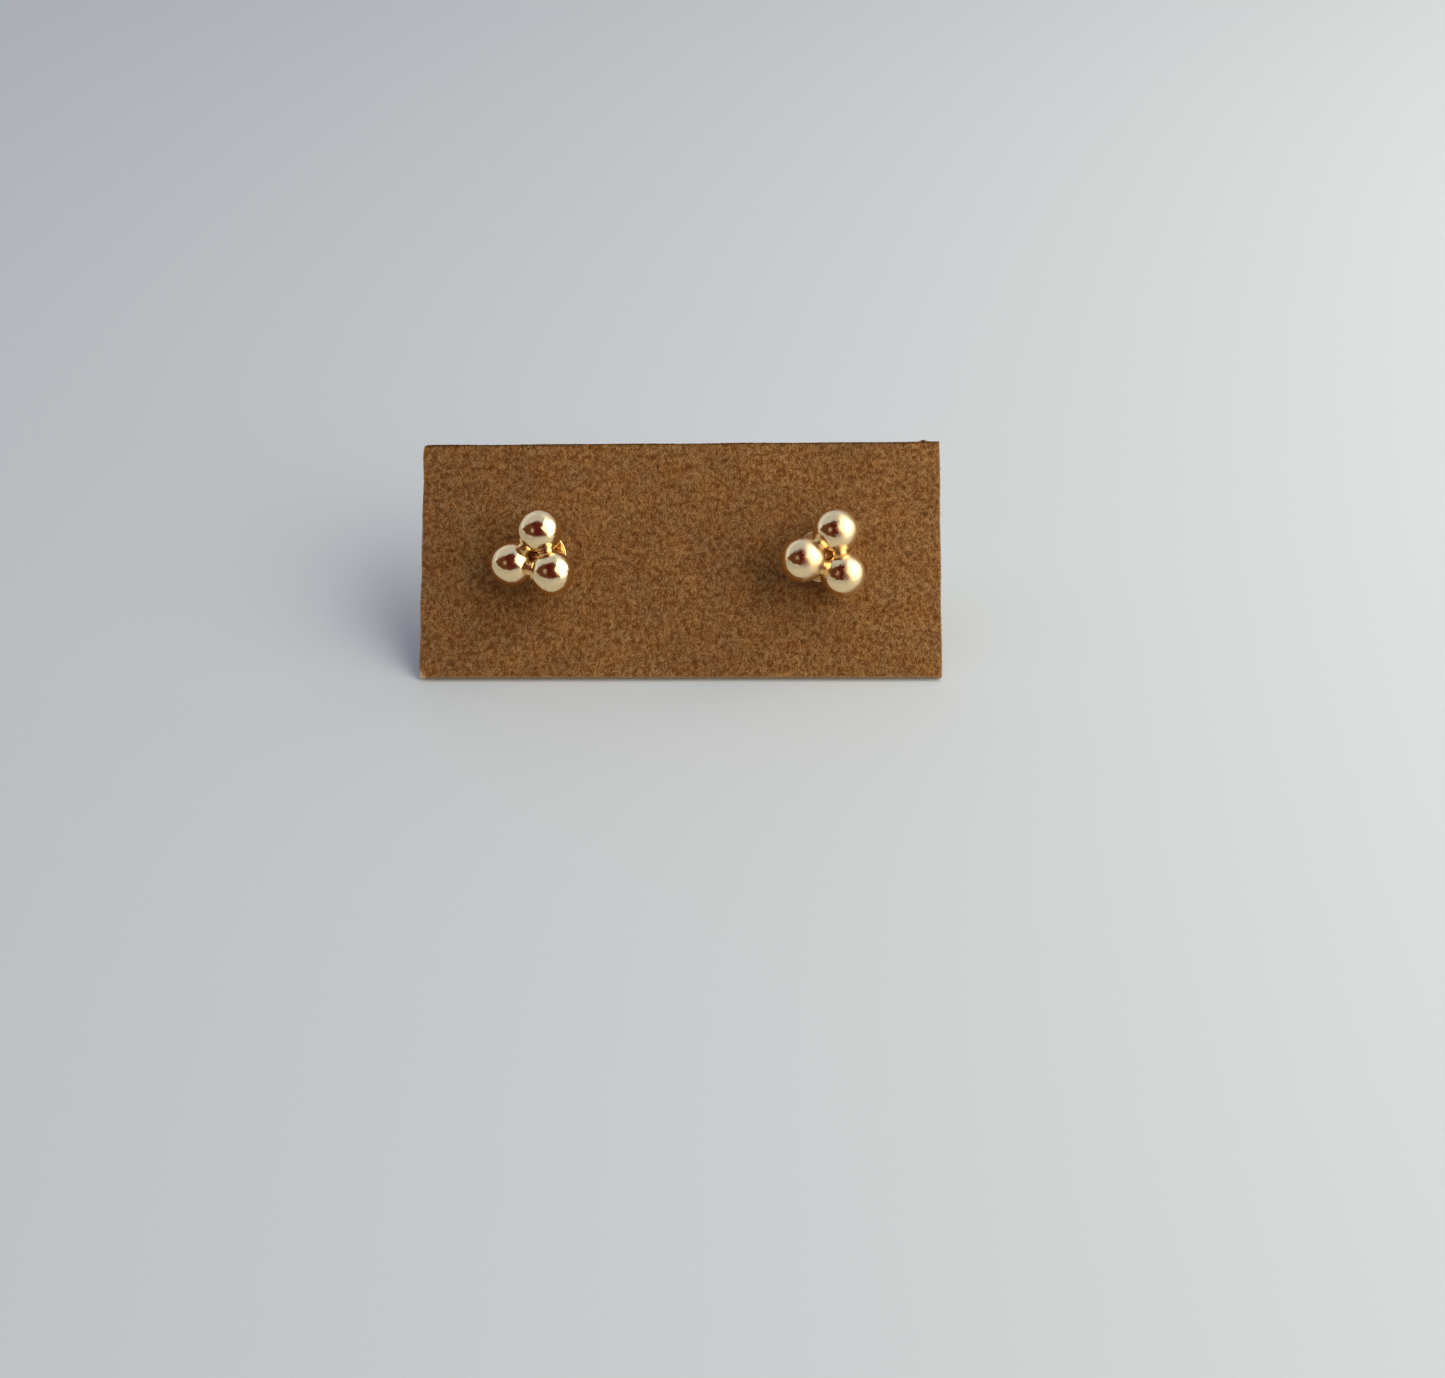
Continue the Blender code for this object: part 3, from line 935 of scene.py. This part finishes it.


# KRAFT_DARK is the kraft's dark tone, and also the colour of the painted shade line along the upper edge
KRAFT_DARK = (0.050, 0.0150, 0.0009, 1.0)
KRAFT_MID = (0.168, 0.061, 0.0095, 1.0)
KRAFT_LIGHT = (0.33, 0.158, 0.045, 1.0)
KRAFT_FIBRE = (0.58, 0.34, 0.135, 1.0)
KRAFT_TORN = (0.85, 0.62, 0.36, 1.0)
# Pale core colour of the cut edges, also used as the painted highlight along the dimples' crisp rims
KRAFT_CORE_AND_RIM_HIGHLIGHT = (0.42, 0.26, 0.13, 1.0)
KRAFT_WARM = (1.06, 0.95, 0.84, 1.0)
KRAFT_COOL = (0.97, 1.02, 1.08, 1.0)
# The angles of the kraft's broad strokes, and of the thin light and dark fibres over them
BROAD_ANGLES = (0.7, 1.4, 1.75, 2.4)
LIGHT_ANGLES = (1.4, 1.7, 1.15, 2.0, 0.3)
DARK_ANGLES = (1.5, 0.8, 2.4)
# How much of each is laid over the soft clouds
OVERLAY = {"middle": 0.52, "broad_dark": 0.36, "broad_light": 0.22, "dark": 0.28, "light": 0.66}
# From the upper edge, where the painted shade line along it starts and where it is full: a dark line painted
# as the shade of the edge face
PAINTED_TOP_SHADE_BAND = (0.26, 0.08)
KRAFT_RELIEF = 0.00004  # in metres


def kraft_material(name):
    """Brown kraft: soft clouds under broad strokes and thin curly fibres, light and dark, at many angles."""
    nodes = Nodes(bpy.data.materials.new(name))
    place = nodes.place()
    curly = nodes.shaken(place, 1.3, 2.0, 0.6)

    def strokes(i, angle):
        """Broad curly strokes at an angle: how bright and how deep each point is in them."""
        moved = nodes.add(curly, (7.3 * i, 3.1 * i, 0.0))
        cloud = nodes.noise(nodes.stretched(moved, angle, 1.3, 7.0), 1.0, 2.0, 0.6)
        return nodes.ramp(cloud, 0.55, 0.70), nodes.ramp(cloud, 0.45, 0.30)

    def fibres(angle, shift):
        """Thin curly lines that run mostly one way, broken into short lengths."""
        moved = nodes.add(curly, (shift, 0.4 * shift, 0.0))
        lines = nodes.distance(nodes.noise(nodes.stretched(moved, angle, 1.1, 5.2), 1.0, 1.0), 0.5)
        breaks = nodes.noise(moved, 1.9, 1.0)
        return nodes.times(nodes.ramp(lines, 0.05, 0.01), nodes.step(breaks, 0.46, 0.60))

    broad = [strokes(i, angle) for i, angle in enumerate(BROAD_ANGLES)]
    broad_light = nodes.strongest([bright for bright, _ in broad])
    broad_dark = nodes.strongest([deep for _, deep in broad])
    light = nodes.strongest([fibres(angle, 7.3 * i) for i, angle in enumerate(LIGHT_ANGLES)])
    dark = nodes.strongest([fibres(angle, 50.0 + 6.1 * i) for i, angle in enumerate(DARK_ANGLES)])
    mottle = nodes.noise(curly, 3.0, 3.0, 0.65)
    cloud = nodes.noise(place, 0.16)
    grain = nodes.noise(place, 9.0, 2.0, 0.6)

    colour = nodes.mix(nodes.ramp(mottle, 0.30, 0.70), KRAFT_DARK, KRAFT_LIGHT)
    colour = nodes.mix(OVERLAY["middle"], colour, KRAFT_MID)
    for share, amount, over in (
        (broad_dark, OVERLAY["broad_dark"], KRAFT_DARK),
        (broad_light, OVERLAY["broad_light"], KRAFT_LIGHT),
        (dark, OVERLAY["dark"], KRAFT_DARK),
        (light, OVERLAY["light"], KRAFT_FIBRE),
    ):
        colour = nodes.mix(nodes.times(share, amount), colour, over)

    # Slow changes of tone and tint over the card, and a painted light that makes it lighter towards the
    # right
    across, up = nodes.node("SeparateXYZ", {0: place}).outputs[:2]
    shade = nodes.ramp(cloud, 0.3, 0.7, 0.90, 1.12)
    # Painted light: lighter towards the right, where the key light falls
    shade = nodes.times(shade, nodes.ramp(across, -CARD_WIDTH / 2, CARD_WIDTH / 2, 0.96, 1.04))
    shade = nodes.times(shade, nodes.ramp(grain, 0.2, 0.8, 0.88, 1.12))
    grey = nodes.node("CombineXYZ", {0: shade, 1: shade, 2: shade}).outputs[0]
    colour = nodes.mix(1.0, colour, grey, "MULTIPLY")
    patches = nodes.ramp(nodes.noise(place, 0.45, 3.0, 0.6), 0.35, 0.65)
    colour = nodes.mix(1.0, colour, nodes.mix(patches, KRAFT_WARM, KRAFT_COOL), "MULTIPLY")

    # The pale cut edges, the painted shade line along the upper one, the torn corner and the painted
    # highlight along the dimples' rims
    painted_top_shade = nodes.ramp(up, CARD_HEIGHT - PAINTED_TOP_SHADE_BAND[0], CARD_HEIGHT - PAINTED_TOP_SHADE_BAND[1])
    edge = nodes.times(nodes.ramp(nodes.mark("edge"), 0.3, 1.0), nodes.ramp(mottle, 0.3, 0.6, 0.4, 0.9))
    edge = nodes.times(edge, nodes.math("SUBTRACT", 1.0, painted_top_shade))
    colour = nodes.mix(edge, colour, KRAFT_CORE_AND_RIM_HIGHLIGHT)
    # Painted shade: a dark line along the upper edge, as the shade of its edge face
    colour = nodes.mix(nodes.times(painted_top_shade, nodes.ramp(mottle, 0.65, 0.40, 0.2, 0.9)), colour, KRAFT_DARK)
    colour = nodes.mix(nodes.ramp(nodes.mark("torn"), 0.0, 0.6, 0.0, 0.9), colour, KRAFT_TORN)
    # Painted highlight: the crisp rims of the dimples are painted lighter, as a crease catching the light
    colour = nodes.mix(nodes.ramp(nodes.mark("rim"), 0.0, 1.0, 0.0, 0.45), colour, KRAFT_CORE_AND_RIM_HIGHLIGHT)

    relief = nodes.math("SUBTRACT", light, dark)
    relief = nodes.math("ADD", relief, nodes.times(mottle, 0.8))
    nodes.set(
        Base_Color=colour,
        Roughness=nodes.ramp(mottle, 0.3, 0.7, 0.74, 0.9),
        Specular_IOR_Level=0.12,
        Normal=nodes.bump(relief, 0.55, KRAFT_RELIEF),
    )
    return nodes.owner


def fibre_material(name):
    """Loose paper fibres, a little lighter than the card, each of its own shade."""
    nodes = Nodes(bpy.data.materials.new(name))
    shade = nodes.noise(nodes.place(), 0.9, 1.0)
    colour = nodes.mix(nodes.ramp(shade, 0.35, 0.65), KRAFT_MID, KRAFT_LIGHT)
    nodes.set(Base_Color=colour, Roughness=0.8, Specular_IOR_Level=0.3)
    return nodes.owner


def plain_material(name, colour, roughness):
    """A plain surface of the studio."""
    nodes = Nodes(bpy.data.materials.new(name))
    nodes.set(Base_Color=(*colour, 1.0), Roughness=roughness)
    return nodes.owner


# Studio

# The camera in card coordinates from the middle of the front face, in millimetres, and the way it faces
CAMERA_PLACE = (8.684, -22.774, 129.004)
CAMERA_FORWARD = (-0.0367, 0.0851, -0.9957)
CAMERA_UP = (0.0005, 0.9964, 0.0851)
FOCAL_PIXELS = 1446.0
PHOTO_WIDTH = 1445.0
SENSOR = 36.0
CLIP = (0.002, 20.0)
FLOOR_SIZE = 3.0
FLOOR_COLOUR = (0.66, 0.73, 0.765)
FLOOR_ROUGHNESS = 0.75
# The light's middle and what it faces in card coordinates, then its side in metres, watts and colour
KEY = {
    "place": (262.0, 80.0, 112.0),
    "target": (0.0, 10.0, 0.0),
    "side": 0.44,
    "power": 1.48,
    "colour": (1.0, 0.90, 0.73),
}


def make_camera():
    """The camera at the photograph's angle to the card."""
    data = bpy.data.cameras.new("camera")
    data.sensor_fit = "HORIZONTAL"
    data.sensor_width = SENSOR
    data.lens = FOCAL_PIXELS / PHOTO_WIDTH * SENSOR
    data.clip_start, data.clip_end = CLIP
    camera = bpy.data.objects.new("camera", data)
    bpy.context.scene.collection.objects.link(camera)
    turn = CARD_FRAME.to_3x3() * (1.0 / MM)
    back = -(turn @ Vector(CAMERA_FORWARD)).normalized()
    up = (turn @ Vector(CAMERA_UP)).normalized()
    right = up.cross(back).normalized()
    up = back.cross(right)
    place = CARD_FRAME @ (Vector(CAMERA_PLACE) + Vector((0.0, CARD_HEIGHT / 2, 0.0)))
    camera.matrix_world = Matrix.Translation(place) @ Matrix((right, up, back)).transposed().to_4x4()
    bpy.context.scene.camera = camera


def panel(name, place, target, size, material):
    """A flat panel of the studio that faces a point."""
    mesh = bpy.data.meshes.new(name)
    x, y = size[0] / 2, size[1] / 2
    mesh.from_pydata([(-x, -y, 0), (x, -y, 0), (x, y, 0), (-x, y, 0)], [], [(0, 1, 2, 3)])
    mesh.materials.append(material)
    obj = bpy.data.objects.new(name, mesh)
    bpy.context.scene.collection.objects.link(obj)
    facing = (Vector(target) - Vector(place)).to_track_quat("Z", "Y")
    obj.matrix_world = Matrix.Translation(place) @ facing.to_matrix().to_4x4()


def area_light(name, place, target, size, power, colour):
    """A soft rectangular light that faces a point."""
    data = bpy.data.lights.new(name, "AREA")
    data.shape = "RECTANGLE"
    data.size, data.size_y = size
    data.energy = power
    data.color = colour
    light = bpy.data.objects.new(name, data)
    bpy.context.scene.collection.objects.link(light)
    facing = (Vector(target) - Vector(place)).to_track_quat("-Z", "Y")
    light.matrix_world = Matrix.Translation(place) @ facing.to_matrix().to_4x4()


# What stands about the card in the studio, the later ones in front. Each has its middle and its half size
# in degrees, to the right of and above straight out from the card, how far it leans, how soft its rim is
# and its colour.
SURROUNDINGS = {
    "left_wall": ((-115.0, 0.0), (36.0, 90.0), 0.0, 0.3, (1.0, 1.07, 1.15)),
    "warm_screen": ((98.0, 20.0), (46.0, 70.0), 0.0, 0.25, (1.05, 1.05, 0.98)),
    "brown_flag": ((-46.0, -16.0), (42.0, 56.0), 0.1, 0.10, (0.110, 0.042, 0.020)),
    "dark_flag": ((17.0, -16.0), (34.0, 62.0), 0.30, 0.08, (0.085, 0.010, 0.008)),
    "lamp": ((-27.0, -1.0), (7.0, 8.0), 0.0, 0.6, (0.52, 0.46, 0.40)),
}
CEILING = (0.50, 0.555, 0.69)
GROUND = (0.50, 0.52, 0.54)
# Heights, as a part of the whole way up, between which the shapes fade out above the floor's far edge
HORIZON = (0.13, 0.22)
SURROUNDINGS_STRENGTH = 1.05
CEILING_RISE = (-30.0, 60.0)  # in degrees, from where the ground's colour turns into the ceiling's
RAGGED = {"scale": 4.0, "detail": 4.0, "size": 0.32}  # of the shapes' rims
SQUARENESS = 4.0  # 2 would make the shapes round


def make_world():
    """The studio's surroundings: soft shapes of light and dark, fixed about the card."""
    world = bpy.data.worlds.new("surroundings")
    bpy.context.scene.world = world
    nodes = Nodes(world, "Background")
    clear_way = nodes.node("TexCoord").outputs["Generated"]
    way = nodes.shaken(clear_way, RAGGED["scale"], RAGGED["detail"], RAGGED["size"])
    out = nodes.dot(way, CARD_OUT)
    right = nodes.math("DEGREES", nodes.math("ARCTAN2", nodes.dot(way, CARD_RIGHT), out))
    up = nodes.math("DEGREES", nodes.math("ARCTAN2", nodes.dot(way, CARD_UP), out))
    colour = nodes.mix(nodes.step(up, *CEILING_RISE), (*GROUND, 1.0), (*CEILING, 1.0))
    height = nodes.node("SeparateXYZ", {0: clear_way}).outputs[2]
    low = nodes.math("SUBTRACT", 1.0, nodes.step(height, *HORIZON))
    for (middle_x, middle_y), (half_x, half_y), lean, soft, own_colour in SURROUNDINGS.values():
        leaning = nodes.math("ADD", right, nodes.times(nodes.math("SUBTRACT", up, middle_y), lean))
        across = nodes.math("DIVIDE", nodes.distance(leaning, middle_x), half_x)
        along = nodes.math("DIVIDE", nodes.distance(up, middle_y), half_y)
        powers = [nodes.math("POWER", part, SQUARENESS) for part in (across, along)]
        reached = nodes.math("POWER", nodes.math("ADD", *powers), 1.0 / SQUARENESS)
        outside = nodes.step(reached, 1.0 - soft, 1.0 + soft)
        colour = nodes.mix(nodes.math("MAXIMUM", outside, low), (*own_colour, 1.0), colour)
    nodes.tree.links.new(colour, nodes.shader.inputs["Color"])
    nodes.shader.inputs["Strength"].default_value = SURROUNDINGS_STRENGTH


def make_studio():
    """A plain pale floor, the surroundings, and a broad warm light from the upper right."""
    floor = plain_material("floor", FLOOR_COLOUR, FLOOR_ROUGHNESS)
    panel("floor", (0.0, 0.0, 0.0), (0.0, 0.0, 1.0), (FLOOR_SIZE, FLOOR_SIZE), floor)
    place, target = (CARD_FRAME @ Vector(KEY[name]) for name in ("place", "target"))
    area_light("key", place, target, (KEY["side"], KEY["side"]), KEY["power"], KEY["colour"])
    make_world()
    bpy.context.scene.view_settings.view_transform = "Standard"


VOXEL, QUICK_VOXEL = 0.06, 0.10


def main():
    """Makes the pieces, then the camera and the studio."""
    nut_gold = gold_material("nut_gold", NUT_COLOUR, NUT_ROUGHNESS)
    voxel = VOXEL
    for side in STUDS:
        placed = stud_frame(side)
        gold = gold_material(side + "_gold", STUD_COLOUR, STUD_ROUGHNESS, SATIN[side])
        stud, nut = side + "_stud", side + "_ear_nut"
        cast(side + "_three_ball_stud", stud_shapes(side), stud_field(side), placed, voxel, gold, stud)
        cast(side + "_butterfly_nut", nut_shapes(), nut_field(), placed, voxel, nut_gold, nut)
    make_card(kraft_material("kraft"))
    make_fibres(fibre_material("fibre"))
    make_camera()
    make_studio()


main()
